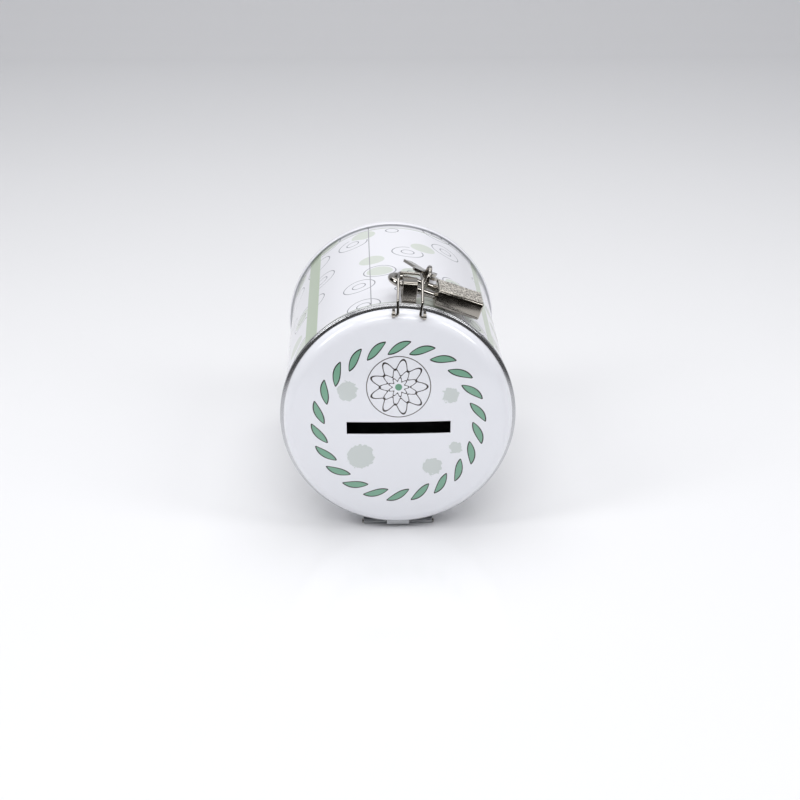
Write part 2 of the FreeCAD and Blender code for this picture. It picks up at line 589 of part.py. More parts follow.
def keys():
    ring_x = "Sheet.ring_from_staple"
    ring_y = "(Sheet.shackle_span + Sheet.ring_r - Sheet.ring_wire_r - Sheet.shackle_r - Sheet.ring_lift / 2)"
    turns = []
    for side in (-1, 1):
        turns.append(primitive("Torus", "ring_turn_%d" % (side + 1), turn=(Vector(0, 1, 0), 90),
                               at=("%s + %d * 0.8 * Sheet.ring_wire_r" % (ring_x, side), ring_y,
                                   "Sheet.ring_lift"),
                               Radius1="Sheet.ring_r", Radius2="Sheet.ring_wire_r"))
    on_padlock(join("ring_whole", *turns), "key_ring")
    for name, side in (("key_one", -1), ("key_two", 1)):
        # Flat blank with its hole at the origin, fanned to one side of the ring and sloping to the can.
        bottom = "-Sheet.key_thick / 2"
        bow = primitive("Cylinder", name + "_bow", at=("0", "Sheet.bow_offset", bottom),
                        Radius="Sheet.bow_r", Height="Sheet.key_thick")
        blade = primitive("Box", name + "_blade", at=("-Sheet.blade_width / 2", "Sheet.bow_offset + Sheet.bow_r / 2",
                                                      bottom),
                          Length="Sheet.blade_width", Width="Sheet.bow_r / 2 + Sheet.blade_length",
                          Height="Sheet.key_thick")
        hole = primitive("Cylinder", name + "_hole", at=("0", "0", "-Sheet.key_thick"),
                         Radius="Sheet.bow_hole_r", Height="2 * Sheet.key_thick")
        bits = []
        for index, share in enumerate((0.45, 0.62, 0.8)):
            bits.append(primitive("Box", "%s_bit_%d" % (name, index),
                                  at=("Sheet.blade_width * 0.2",
                                      "Sheet.bow_offset + Sheet.bow_r + %g * Sheet.blade_length" % share,
                                      "-Sheet.key_thick"),
                                  Length="Sheet.blade_width", Width="Sheet.blade_length * 0.08",
                                  Height="2 * Sheet.key_thick"))
        key = cut(name + "_cut", join(name + "_blank", bow, blade), join(name + "_voids", hole, *bits))
        key.Label = name
        slope = Rotation(Vector(1, 0, 0), -cell("key_tilt"))
        fan = Rotation(Vector(0, 0, 1), side * cell("key_fan"))
        lift = side * (cell("key_thick") + cell("key_gap")) / 2
        hang = Vector(cell("ring_from_staple"), evaluate(ring_y) + cell("ring_r"), cell("ring_lift"))
        on_ring = Placement(hang, slope).multiply(Placement(Vector(0, 0, lift), fan))
        key.Placement = PADLOCK_SEAT.multiply(on_ring)
        NODES.append(key)


PADLOCK_SEAT = Placement(
    Vector(evaluate(SHACKLE_R + " * sin(Sheet.hasp_angle * 1deg)"),
           evaluate(SHIFT + " + " + SHACKLE_Y),
           evaluate(AXIS_Z + " + " + SHACKLE_R + " * cos(Sheet.hasp_angle * 1deg)")),
    Rotation(Vector(0, 1, 0), cell("hasp_angle") + cell("padlock_slope")))

can_body()
can_base()
lid_shell()
lid_collar()
hinge()
staple()
bail()
padlock()
keys()
doc.recompute()

for obj in doc.Objects:
    if "Invalid" in obj.State or "Error" in obj.State:
        raise RuntimeError("failed: %s %s" % (obj.Label, obj.State))
os.makedirs("parts", exist_ok=True)
for obj in NODES:
    if obj.Shape.isNull() or not obj.Shape.isValid():
        raise RuntimeError("bad shape: " + obj.Label)
    obj.Shape.exportStep("parts/%s.step" % obj.Label)
    box = obj.Shape.BoundBox
    print("%-16s %8.1f mm3  x %.2f %.2f  y %.2f %.2f  z %.2f %.2f" % (
        obj.Label, obj.Shape.Volume, box.XMin, box.XMax, box.YMin, box.YMax, box.ZMin, box.ZMax))
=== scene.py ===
import math
import bmesh
import bpy
from mathutils import Matrix, Vector


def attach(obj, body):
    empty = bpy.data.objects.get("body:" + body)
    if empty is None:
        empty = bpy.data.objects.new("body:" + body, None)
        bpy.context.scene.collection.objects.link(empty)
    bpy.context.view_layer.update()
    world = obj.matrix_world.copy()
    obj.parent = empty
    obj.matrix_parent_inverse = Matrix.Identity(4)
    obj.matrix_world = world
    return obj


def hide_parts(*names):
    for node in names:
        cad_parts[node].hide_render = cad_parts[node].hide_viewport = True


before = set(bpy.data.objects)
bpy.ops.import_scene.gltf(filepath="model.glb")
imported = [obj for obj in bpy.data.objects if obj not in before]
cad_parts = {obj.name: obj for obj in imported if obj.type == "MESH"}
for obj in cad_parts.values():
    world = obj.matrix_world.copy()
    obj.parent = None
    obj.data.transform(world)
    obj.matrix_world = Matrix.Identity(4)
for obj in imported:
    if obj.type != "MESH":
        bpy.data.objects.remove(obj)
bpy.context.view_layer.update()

# Lengths are in millimetres about the can's axis, rim plane at y = 0, and become metres in place().
MM = 0.001
ROUND_STEPS = 288
BEND_STEPS = 8

# Can
RIM_Y = -47.95
AXIS_Z = 45.4
CAN_LENGTH = 104.6
WALL_R = 42.3
SHEET = 0.4
BEAD_R = 43.5
BEAD_WIRE = 0.75
BEAD_Y = 0.8
BEAD_STEPS = 24
BEAD_REACH = 3.0         # the bead's faces end this far behind the rim
NECK_INSIDE = 1.2        # where the inner wall meets the bead
NECK_OUTSIDE = 0.35      # where the outer wall meets the bead
SEAM_Y = 101.42
SEAM_FIT = 0.02          # the wall stops this far before the seam
SEAM_WALL = 1.0
SEAM_ROUND = 0.45
SEAM_STEPS = 6
PANEL_Y = 102.0
PANEL_BEND = 0.4
PANEL_BEND_STEPS = 4
PANEL_STEP_R = 33.0      # outer edge of the pressed step in the base
PANEL_STEP_RUN = 1.0
PANEL_STEP = 0.3
OFF_WALL = 0.02          # faces further out than this belong to a rolled edge
NEAR_INSIDE = 0.05       # faces within this of the inner wall are bare

# Lid
LID_R = 42.2
LID_SIDE = 2.0
LID_LAP = 0.05           # overlap of the rolled edge and the side
OFF_LID = 0.05           # faces further out than this belong to the rolled edge
SHOULDER = 4.5
SHOULDER_STEPS = 20
LID_RISE = 2.2
CROWN_STEPS = 40
CROWN_SHARE = 0.97       # the crown's arc starts a little inside the shoulder's end
SLOT_LENGTH = 38.0
SLOT_WIDTH = 4.8
SLOT_DROP = 1.5
SLOT_CUT = 20.0          # depth of the cutter
FACE_R = LID_R - SHOULDER
CROWN_R = (FACE_R ** 2 + LID_RISE ** 2) / (2 * LID_RISE)
LID_TOP = -LID_SIDE - SHOULDER - LID_RISE

# Hasp
HASP_ANGLE = math.radians(5.3)
STAPLE_WIDTH = 5.3
STAPLE_STRIP = 0.8
STAPLE_EDGE = 0.15
STAPLE_FOOT = 42.32
STAPLE_FRONT = 2.5
STAPLE_BACK = 10.0
STAPLE_TAIL = 19.0
STAPLE_BEND = 0.9
TUNNEL_GAP = 0.25
BAIL_WIRE = 0.5
BAIL_HALF = 4.4
BAIL_BEND = 1.4
BAIL_TIP_BEND = 0.6
BAIL_PIVOT = (-5.9, 41.2)
BAIL_OVER_BEAD = 2.8
BAIL_CLEAR = 0.8
BAIL_BACK = 11.8
BAIL_TIP = 6.3

# Padlock and keys
PADLOCK_SLOPE = math.radians(14.2)
PADLOCK_REST = 0.4       # from the can's wall to the case
SHACKLE_WIRE = 1.3
SHACKLE_SPAN = 9.2
SHACKLE_Y = 6.45
SHACKLE_STEPS = 40
BEND_REACH = 2.25
CASE_START = 10.2
CASE_END = 27.5
CASE_WIDTH = 14.0
CASE_THICK = 6.8
CASE_ROUND = 1.5
CASE_EDGE = 0.6
CASE_EDGE_STEPS = 6
CASE_LIP = 1.0           # depth of the recess at the case's end
CASE_LIP_SHARE = 0.9     # the bottom edge rounds in by this share of CASE_EDGE
CASE_SHEET = 0.6
SMALLEST_CORNER = 0.05
LONG_LEG = 12.0
SHORT_LEG = 3.6
RING_R = 4.6
RING_WIRE = 0.45
RING_AT = (6.4, 11.1, 1.9)
RING_TURNS = 2
RING_SHIFT = 1.6         # sideways run of the two turns, in wire radii
RING_STEPS = 96
SHACKLE_R = (WALL_R + PADLOCK_REST + CASE_THICK / 2) / math.cos(PADLOCK_SLOPE)

# Meshes: wire ends in wire radii, sides of round wire, angles in degrees past which an edge stays sharp
END_CHAMFER = 0.35
END_SHARE = 0.7
WIRE_SIDES = 20
SHACKLE_SIDES = 32
RING_SIDES = 16
SMOOTH_ANGLE = 35
WIRE_SMOOTH = 50
STRIP_SMOOTH = 30
CASE_SMOOTH = 40
ON_AXIS = 1e-6
BROAD_FACING = 0.9       # least cosine between a broad face's normal and the case's

CAN = Matrix.Translation((0, RIM_Y, AXIS_Z))
HASP = CAN @ Matrix.Rotation(HASP_ANGLE, 4, "Y")
PADLOCK = (HASP @ Matrix.Translation((0, SHACKLE_Y, SHACKLE_R))
           @ Matrix.Rotation(PADLOCK_SLOPE, 4, "Y"))


# Meshes

def place(name, bm, seat, smooth_angle=SMOOTH_ANGLE):
    # Turns a mesh built in millimetres into an object in the frame's metres.
    bmesh.ops.recalc_face_normals(bm, faces=bm.faces)
    mesh = bpy.data.meshes.new(name)
    bm.to_mesh(mesh)
    bm.free()
    mesh.transform(Matrix.Scale(MM, 4) @ seat)
    mesh.shade_smooth()
    mesh.set_sharp_from_angle(angle=math.radians(smooth_angle))
    obj = bpy.data.objects.new(name, mesh)
    bpy.context.scene.collection.objects.link(obj)
    return obj


def arc(centre, radius, start, end, steps):
    points = []
    for step in range(steps + 1):
        angle = math.radians(start + (end - start) * step / steps)
        points.append((centre[0] + radius * math.cos(angle), centre[1] + radius * math.sin(angle)))
    return points


def lathe(name, profile, closed=True):
    # profile holds (radius, y) points in order round the section.
    bm = bmesh.new()
    rings = []
    for radius, y in profile:
        if radius < ON_AXIS:
            rings.append([bm.verts.new((0, y, 0))])
            continue
        ring = []
        for step in range(ROUND_STEPS):
            angle = 2 * math.pi * step / ROUND_STEPS
            ring.append(bm.verts.new((radius * math.sin(angle), y, radius * math.cos(angle))))
        rings.append(ring)
    pairs = list(zip(rings, rings[1:]))
    if closed:
        pairs.append((rings[-1], rings[0]))
    for one, two in pairs:
        if len(one) == 1 and len(two) == 1:
            continue
        for step in range(ROUND_STEPS):
            after = (step + 1) % ROUND_STEPS
            if len(one) == 1:
                bm.faces.new((one[0], two[after], two[step]))
            elif len(two) == 1:
                bm.faces.new((one[step], one[after], two[0]))
            else:
                bm.faces.new((one[step], one[after], two[after], two[step]))
    return place(name, bm, CAN)


def rounded(points, bends):
    # Straight runs joined by tangent arcs, one radius for each corner.
    path = [points[0]]
    for before, corner, after, radius in zip(points, points[1:], points[2:], bends):
        one = (before - corner).normalized()
        two = (after - corner).normalized()
        half = one.angle(two) / 2
        centre = corner + (one + two).normalized() * (radius / math.sin(half))
        first = corner + one * (radius / math.tan(half))
        second = corner + two * (radius / math.tan(half))
        for step in range(BEND_STEPS + 1):
            way = (first - centre).slerp(second - centre, step / BEND_STEPS)
            path.append(centre + way)
    path.append(points[-1])
    return path


def wire(name, path, radius, seat, sides=WIRE_SIDES):
    # Round wire along a path, its ends slightly rounded off.
    bm = bmesh.new()
    tangents = []
    for index in range(len(path)):
        before = path[max(index - 1, 0)]
        after = path[min(index + 1, len(path) - 1)]
        tangents.append((after - before).normalized())
    normal = tangents[0].orthogonal().normalized()
    stations = []
    for point, tangent in zip(path, tangents):
        normal = (normal - tangent * normal.dot(tangent)).normalized()
        stations.append((point, tangent, normal, 1.0))
    chamfer = radius * END_CHAMFER
    first = stations[0]
    last = stations[-1]
    stations[0] = (first[0] + first[1] * chamfer, first[1], first[2], 1.0)
    stations[-1] = (last[0] - last[1] * chamfer, last[1], last[2], 1.0)
    stations.insert(0, (first[0], first[1], first[2], END_SHARE))
    stations.append((last[0], last[1], last[2], END_SHARE))
    rings = []
    for point, tangent, across, share in stations:
        side = tangent.cross(across)
        ring = []
        for step in range(sides):
            angle = 2 * math.pi * step / sides
            out = across * math.cos(angle) + side * math.sin(angle)
            ring.append(bm.verts.new(point + out * radius * share))
        rings.append(ring)
    skin(bm, rings)
    return place(name, bm, seat, WIRE_SMOOTH)


def skin(bm, rings):
    for one, two in zip(rings, rings[1:]):
        for step in range(len(one)):
            after = (step + 1) % len(one)
            bm.faces.new((one[step], one[after], two[after], two[step]))
    bm.faces.new(rings[0])
    bm.faces.new(rings[-1])


def bent_strip(name, path, width, thick, seat):
    # Flat strip bent in the (y, r) plane, with slightly broken edges.
    bm = bmesh.new()
    half = width / 2
    flat = half - STAPLE_EDGE
    rim = 1 - 2 * STAPLE_EDGE / thick
    across = [(-flat, 1), (flat, 1), (half, rim), (half, -rim),
              (flat, -1), (-flat, -1), (-half, -rim), (-half, rim)]
    rings = []
    for index, point in enumerate(path):
        before = path[max(index - 1, 0)]
        after = path[min(index + 1, len(path) - 1)]
        tangent = (after - before).normalized()
        normal = Vector((0, -tangent.z, tangent.y))
        ring = []
        for u, side in across:
            ring.append(bm.verts.new(Vector((u, 0, 0)) + point + normal * (side * thick / 2)))
        rings.append(ring)
    skin(bm, rings)
    return place(name, bm, seat, STRIP_SMOOTH)


def rounded_rectangle(half_y, half_z, radius, inset):
    points = []
    corner = max(radius - inset, SMALLEST_CORNER)
    for quarter, (sign_y, sign_z) in enumerate(((1, 1), (-1, 1), (-1, -1), (1, -1))):
        centre = (sign_y * (half_y - inset - corner), sign_z * (half_z - inset - corner))
        points += arc(centre, corner, 90 * quarter, 90 * quarter + 90, BEND_STEPS)
    return points


# Looks

def colour(code):
    # sRGB hex to linear.
    channels = []
    for start in (0, 2, 4):
        share = int(code[start:start + 2], 16) / 255
        channels.append(share / 12.92 if share <= 0.04045 else ((share + 0.055) / 1.055) ** 2.4)
    return (*channels, 1.0)


def add(tree, kind, inputs=None, **settings):
    # Adds a node, sets its properties, then sets or links its inputs.
    node = tree.nodes.new(kind)
    for name, value in settings.items():
        setattr(node, name, value)
    for key, value in (inputs or {}).items():
        if isinstance(value, bpy.types.NodeSocket):
            tree.links.new(value, node.inputs[key])
        else:
            node.inputs[key].default_value = value
    return node


def surface(name, **values):
    material = bpy.data.materials.new(name)
    material.use_nodes = True
    shader = material.node_tree.nodes["Principled BSDF"]
    for key, value in values.items():
        shader.inputs[key.replace("_", " ")].default_value = value
    return material, material.node_tree, shader


def math_node(tree, operation, first, second=0.0, third=0.0):
    return add(tree, "ShaderNodeMath", {0: first, 1: second, 2: third}, operation=operation).outputs[0]


def band(tree, value, middle, half, soft):
    # 1 within half of middle, falling to 0 over soft.
    away = math_node(tree, "ABSOLUTE", math_node(tree, "SUBTRACT", value, middle))
    return add(tree, "ShaderNodeMapRange", {"Value": away, "From Min": half + soft, "From Max": half,
                                            "To Min": 0.0, "To Max": 1.0}).outputs[0]


def mix(tree, factor, first, second):
    return add(tree, "ShaderNodeMix", {0: factor, 6: first, 7: second}, data_type="RGBA").outputs[2]


LID_WHITE = "F1F2F7"
CAN_WHITE = "EDEDF2"
BLOT_GREY = "D2D8D6"
BLOT_SOFT = 0.3
BLOT_RAGGED = 3.0        # how far the noise moves a blot's edge
BLOT_GRAIN = 700.0
INK = "3B3432"
ROSETTE_GREEN = "6FA287"
ROSETTE_RING = "57514E"
LEAF_GREEN = "7FAE95"
LEAF_INK = "2F2A29"
LINE_SOFT = 0.12
# Blots as x, z and radius on the lid's face
BLOTS = ((-18.5, 13.0, 3.6), (-14.0, -13.0, 4.8), (19.0, 11.0, 2.8), (12.5, -17.5, 3.4), (21.0, -10.0, 2.2))
ROSETTE_AT = (0.0, 14.5)
PETALS = 9
LEAVES = 22
WREATH_R = 29.5
LEAF_HALF = 1.5
LEAF_SLANT = 4.6
LEAF_LINE = 0.16
# Petal outlines as radius, swing and half width of the line
PETAL_LINES = ((8.6, 1.9, 0.3), (5.6, -1.3, 0.24), (3.0, 0.7, 0.2))
ROSETTE_EYE = 1.2
ROSETTE_EYE_SOFT = 0.15
ROSETTE_R = 11.6
ROSETTE_LINE = 0.12
ROSETTE_SOFT = 0.1


def offset_from(tree, across, up, centre):
    side = math_node(tree, "SUBTRACT", across, centre[0])
    rise = math_node(tree, "SUBTRACT", up, centre[1])
    return side, rise


def distance(tree, side, rise):
    squares = math_node(tree, "ADD", math_node(tree, "MULTIPLY", side, side),
                        math_node(tree, "MULTIPLY", rise, rise))
    return math_node(tree, "SQRT", squares)


def enamel():
    # White stoving enamel on tinplate, printed with a rosette, a leaf wreath and pale blots.
    material, tree, shader = surface("white_enamel", Roughness=0.16, IOR=1.5,
                                     Coat_Weight=0.4, Coat_Roughness=0.05)
    place_at = add(tree, "ShaderNodeTexCoord").outputs["Object"]
    split = add(tree, "ShaderNodeSeparateXYZ", {0: place_at})
    across = math_node(tree, "MULTIPLY", split.outputs[0], 1 / MM)
    up = math_node(tree, "SUBTRACT", math_node(tree, "MULTIPLY", split.outputs[2], 1 / MM), AXIS_Z)
    grain = {"Vector": place_at, "Scale": BLOT_GRAIN, "Detail": 2.0}
    ragged = add(tree, "ShaderNodeTexNoise", grain).outputs["Fac"]
    ragged = math_node(tree, "MULTIPLY", math_node(tree, "SUBTRACT", ragged, 0.5), BLOT_RAGGED)

    inked = colour(LID_WHITE)
    for x, z, radius in BLOTS:
        apart = distance(tree, *offset_from(tree, across, up, (x, z)))
        blot = band(tree, math_node(tree, "ADD", apart, ragged), 0.0, radius, BLOT_SOFT)
        inked = mix(tree, blot, inked, colour(BLOT_GREY))

    side, rise = offset_from(tree, across, up, ROSETTE_AT)
    apart = distance(tree, side, rise)
    angle = math_node(tree, "ARCTAN2", rise, side)
    wave = math_node(tree, "COSINE", math_node(tree, "MULTIPLY", angle, float(PETALS)))
    for radius, swing, half in PETAL_LINES:
        outline = math_node(tree, "SUBTRACT", apart, math_node(tree, "MULTIPLY_ADD", wave, swing, radius))
        inked = mix(tree, band(tree, outline, 0.0, half, LINE_SOFT), inked, colour(INK))
    eye = band(tree, apart, 0.0, ROSETTE_EYE, ROSETTE_EYE_SOFT)
    inked = mix(tree, eye, inked, colour(ROSETTE_GREEN))
    circle = band(tree, apart, ROSETTE_R, ROSETTE_LINE, ROSETTE_SOFT)
    inked = mix(tree, circle, inked, colour(ROSETTE_RING))

    side, rise = offset_from(tree, across, up, (0.0, 0.0))
    apart = distance(tree, side, rise)
    angle = math_node(tree, "ARCTAN2", rise, side)
    turns = math_node(tree, "MULTIPLY", angle, LEAVES / (2 * math.pi))
    leaf_at = math_node(tree, "SUBTRACT", math_node(tree, "FRACT", turns), 0.5)
    # 0 at the leaf's tips, 1 at its middle.
    square = math_node(tree, "MULTIPLY", leaf_at, leaf_at)
    taper = math_node(tree, "SUBTRACT", 1.0, math_node(tree, "MULTIPLY", square, 4.0))
    slant = math_node(tree, "MULTIPLY_ADD", leaf_at, LEAF_SLANT, apart)
    away = math_node(tree, "ABSOLUTE", math_node(tree, "SUBTRACT", slant, WREATH_R))
    leaf = math_node(tree, "SUBTRACT", away, math_node(tree, "MULTIPLY", taper, LEAF_HALF))
    inked = mix(tree, math_node(tree, "LESS_THAN", leaf, 0.0), inked, colour(LEAF_GREEN))
    inked = mix(tree, band(tree, leaf, 0.0, LEAF_LINE, LINE_SOFT), inked, colour(LEAF_INK))
    tree.links.new(inked, shader.inputs["Base Color"])
    return material


def bright_edge():
    # Rolled tinplate edge, bare metal.
    return surface("rolled_edge", Base_Color=colour("C6C7CA"), Metallic=0.9, Roughness=0.2)[0]


def white_edge():
    # The base's folded seam, lacquered white.
    return surface("white_edge", Base_Color=colour(CAN_WHITE), Roughness=0.26, Coat_Weight=0.3)[0]


CELL_SCALE = 0.055       # cells of the pattern for each millimetre
CELL_SPREAD = 0.75
# Marks in each cell: radius, half width, softness, share of cells without it, colour
DISC = (0.0, 5.0, 0.25, 0.45, "D5DBD2")
OUTER_RING = (6.3, 0.16, 0.12, 0.4, "8E9196")
INNER_RING = (2.6, 0.14, 0.12, 0.35, "7C8086")
# Lines along the can: place round the wall, half width, softness, colour
LENGTHWISE = ((-36.0, 3.2, 0.3, "B9C7B0"), (41.0, 2.2, 0.3, "C3CDBB"), (-9.6, 0.14, 0.1, "9C9DA2"))
# Lines round the can at these distances from the rim
ROUND_LINES = (5.2, 98.5)
ROUND_LINE_HALF = 0.3
ROUND_LINE_SOFT = 0.1
ROUND_LINE_COLOUR = "B4BDB0"


def printed_tin():
    # Lithographed tinplate: white ground with a loose pattern of discs and rings, stripes and the side seam.
    material, tree, shader = surface("printed_tin", Roughness=0.26, Coat_Weight=0.3, Coat_Roughness=0.08)
    split = add(tree, "ShaderNodeSeparateXYZ", {0: add(tree, "ShaderNodeTexCoord").outputs["Object"]})
    height = math_node(tree, "SUBTRACT", split.outputs[2], AXIS_Z * MM)
    round_at = math_node(tree, "ARCTAN2", split.outputs[0], height)
    along = math_node(tree, "SUBTRACT", split.outputs[1], RIM_Y * MM)
    girth = math_node(tree, "MULTIPLY", round_at, WALL_R)
    length = math_node(tree, "MULTIPLY", along, 1 / MM)
    flat = add(tree, "ShaderNodeCombineXYZ", {0: girth, 1: length}).outputs[0]
    spread = {"Vector": flat, "Scale": CELL_SCALE, "Randomness": CELL_SPREAD}
    cells = add(tree, "ShaderNodeTexVoronoi", spread, voronoi_dimensions="2D")
    away = math_node(tree, "MULTIPLY", cells.outputs["Distance"], 1 / CELL_SCALE)
    kind = add(tree, "ShaderNodeSeparateColor", {0: cells.outputs["Color"]})
    inked = colour(CAN_WHITE)
    for channel, (radius, half, soft, without, tint) in enumerate((DISC, OUTER_RING, INNER_RING)):
        chosen = math_node(tree, "GREATER_THAN", kind.outputs[channel], without)
        mark = math_node(tree, "MULTIPLY", band(tree, away, radius, half, soft), chosen)
        inked = mix(tree, mark, inked, colour(tint))
    for middle, half, soft, tint in LENGTHWISE:
        inked = mix(tree, band(tree, girth, middle, half, soft), inked, colour(tint))
    for middle in ROUND_LINES:
        line = band(tree, length, middle, ROUND_LINE_HALF, ROUND_LINE_SOFT)
        inked = mix(tree, line, inked, colour(ROUND_LINE_COLOUR))
    tree.links.new(inked, shader.inputs["Base Color"])
    return material


def plain_tin():
    # Bare tinplate.
    return surface("plain_tin", Base_Color=colour("C9CBCD"), Metallic=1.0, Roughness=0.32)[0]


SMUDGE_SCALE = 400.0
POLISHED = (0.08, 0.22)  # range of roughness
STAMPED = (0.34, 0.46)
STAMPED_METAL = 0.6
GRAIN_SCALE = 1100.0
GRAIN_DEPTH = 0.0005
GRAIN_STRENGTH = 0.8
GLINT_SPECK_SCALE = 1300.0
GLINT_SPECK_RANGE = (0.38, 0.62)
# Painted shade and painted glints of the stamped grain: dark and near-white specks in the colour.
PAINTED_SHADE_SPECK = "7A736A"
PAINTED_GLINT_SPECK = "FBF6EC"


def nickel(name, pebbled):
    # Nickel plate on brass or steel, stamped with a fine grain on the padlock's broad faces; there the
    # colour also carries dark and near-white specks, which are painted shade and painted glints of the
    # grain.
    metal = STAMPED_METAL if pebbled else 1.0
    low, high = STAMPED if pebbled else POLISHED
    material, tree, shader = surface(name, Base_Color=colour("ABA69E"), Metallic=metal)
    place_at = add(tree, "ShaderNodeTexCoord").outputs["Object"]
    blur = {"Vector": place_at, "Scale": SMUDGE_SCALE, "Detail": 3.0}
    smudge = add(tree, "ShaderNodeTexNoise", blur).outputs["Fac"]
    rough = add(tree, "ShaderNodeMapRange", {"Value": smudge, "To Min": low, "To Max": high}).outputs[0]
    tree.links.new(rough, shader.inputs["Roughness"])
    if pebbled:
        pebbles = {"Vector": place_at, "Scale": GRAIN_SCALE}
        grain = add(tree, "ShaderNodeTexVoronoi", pebbles).outputs["Distance"]
        # Dark and near-white specks in the colour: painted shade and painted glints on the grain.
        glint_specks = {"Vector": place_at, "Scale": GLINT_SPECK_SCALE, "Detail": 2.0}
        glint_speck = add(tree, "ShaderNodeTexNoise", glint_specks).outputs["Fac"]
        spread = {"Value": glint_speck, "From Min": GLINT_SPECK_RANGE[0], "From Max": GLINT_SPECK_RANGE[1]}
        shade = add(tree, "ShaderNodeMapRange", spread).outputs[0]
        tint = mix(tree, shade, colour(PAINTED_SHADE_SPECK), colour(PAINTED_GLINT_SPECK))
        tree.links.new(tint, shader.inputs["Base Color"])
        relief = {"Height": grain, "Strength": GRAIN_STRENGTH, "Distance": GRAIN_DEPTH}
        tree.links.new(add(tree, "ShaderNodeBump", relief).outputs[0], shader.inputs["Normal"])
    return material


def machined_brass():
    # Brass of the padlock's works.
    return surface("machined_brass", Base_Color=colour("B99A5B"), Metallic=1.0, Roughness=0.3)[0]


def floor_white():
    # White acrylic sheet, faintly reflective.
    return surface("floor_white", Base_Color=colour("F2F2F3"), Roughness=0.14)[0]


ENAMEL = enamel()
EDGE = bright_edge()
WHITE_EDGE = white_edge()
PRINT = printed_tin()
TIN = plain_tin()
NICKEL = nickel("nickel_plate", False)
PEBBLED = nickel("nickel_pebbled_painted_glints", True)
WIRE = surface("nickel_wire", Base_Color=colour("B3AFA9"), Metallic=1.0, Roughness=0.12)[0]
BRASS = machined_brass()


def finish_piece(obj, material, body, slot, *nodes):
    # Gives the piece its first material and its body, and hides the solids it stands for.
    if not obj.data.materials:
        obj.data.materials.append(material)
    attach(obj, body)
    if nodes:
        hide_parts(*nodes)


def second_material(obj, material, chosen):
    # Puts another material on the faces that chosen() picks.
    obj.data.materials.append(material)
    index = len(obj.data.materials) - 1
    for face in obj.data.polygons:
        if chosen(face):
            face.material_index = index


# Can

def from_axis(point):
    # Distance of a placed point from the can's axis, in millimetres.
    return math.hypot(point.x, point.z - AXIS_Z * MM) / MM


def on_bead(face):
    return from_axis(face.center) > WALL_R + OFF_WALL and face.center.y < (RIM_Y + BEAD_REACH) * MM


def build_can():
    inside = WALL_R - SHEET
    wall_end = SEAM_Y - SEAM_FIT
    profile = [(inside, wall_end), (inside, BEAD_Y + NECK_INSIDE)]
    profile += arc((BEAD_R - BEAD_WIRE, BEAD_Y), BEAD_WIRE, 180, 450, BEAD_STEPS)
    profile += [(WALL_R, BEAD_Y + BEAD_WIRE + NECK_OUTSIDE), (WALL_R, wall_end)]
    can = lathe("can_wall", profile)
    can.data.materials.append(PRINT)
    second_material(can, EDGE, on_bead)
    second_material(can, TIN, lambda face: from_axis(face.center) < inside + NEAR_INSIDE)
    finish_piece(can, PRINT, "can", "printed_tin", "can_body")

    outer = BEAD_R - SEAM_ROUND
    inner = BEAD_R - SEAM_WALL
    seam_end = CAN_LENGTH - SEAM_ROUND
    pressed = PANEL_Y - PANEL_STEP
    profile = [(0, PANEL_Y - SHEET), (inside, PANEL_Y - SHEET), (inside, SEAM_Y)]
    profile += arc((outer, SEAM_Y + SEAM_ROUND), SEAM_ROUND, -90, 0, SEAM_STEPS)
    profile += arc((outer, seam_end), SEAM_ROUND, 0, 90, SEAM_STEPS)
    profile += arc((inner + SEAM_ROUND, seam_end), SEAM_ROUND, 90, 180, SEAM_STEPS)
    profile += arc((inner - PANEL_BEND, PANEL_Y + PANEL_BEND), PANEL_BEND, 0, -90, PANEL_BEND_STEPS)
    profile += [(PANEL_STEP_R, PANEL_Y), (PANEL_STEP_R - PANEL_STEP_RUN, pressed), (0, pressed)]
    base = lathe("can_base_pressing", profile, closed=False)
    base.data.materials.append(TIN)
    second_material(base, WHITE_EDGE, lambda face: from_axis(face.center) > inner)
    finish_piece(base, TIN, "can", "plain_tin", "can_base")


def lid_profile(less):
    # Shoulder and crown, set in by less, from the side to the axis.
    reach = math.degrees(math.asin(FACE_R / CROWN_R))
    points = arc((FACE_R, -LID_SIDE), SHOULDER - less, 0, -90 + reach, SHOULDER_STEPS)
    points += arc((0, LID_TOP + CROWN_R), CROWN_R - less, -90 + reach * CROWN_SHARE, -90, CROWN_STEPS)[:-1]
    points.append((0.0, LID_TOP + less))
    return points


def build_lid():
    profile = [(LID_R - SHEET, -BEAD_Y + LID_LAP)]
    profile += arc((BEAD_R - BEAD_WIRE, -BEAD_Y), BEAD_WIRE, 180, -60, BEAD_STEPS)
    profile += [(LID_R, -BEAD_Y - BEAD_WIRE - LID_LAP)]
    profile += lid_profile(0)
    profile += list(reversed(lid_profile(SHEET)))
    lid = lathe("lid_cap", profile)
    cutter_mesh = bmesh.new()
    bmesh.ops.create_cube(cutter_mesh, size=1.0)
    size = Matrix.Diagonal((SLOT_LENGTH, SLOT_CUT, SLOT_WIDTH, 1.0))
    seat = CAN @ Matrix.Translation((0, -SLOT_CUT / 2, -SLOT_DROP)) @ size
    cutter = place("slot_cutter", cutter_mesh, seat)
    slot = lid.modifiers.new("coin slot", "BOOLEAN")
    slot.object = cutter
    slot.solver = "EXACT"
    depsgraph = bpy.context.evaluated_depsgraph_get()
    cut = bpy.data.meshes.new_from_object(lid.evaluated_get(depsgraph))
    lid.modifiers.clear()
    lid.data = cut
    bpy.data.objects.remove(cutter)
    even_normals(lid.data)
    lid.data.materials.clear()
    lid.data.materials.append(ENAMEL)
    second_material(lid, EDGE, lambda face: from_axis(face.center) > LID_R + OFF_LID)
    second_material(lid, TIN, inside_of_lid)
    finish_piece(lid, ENAMEL, "lid", "white_enamel", "lid_shell")


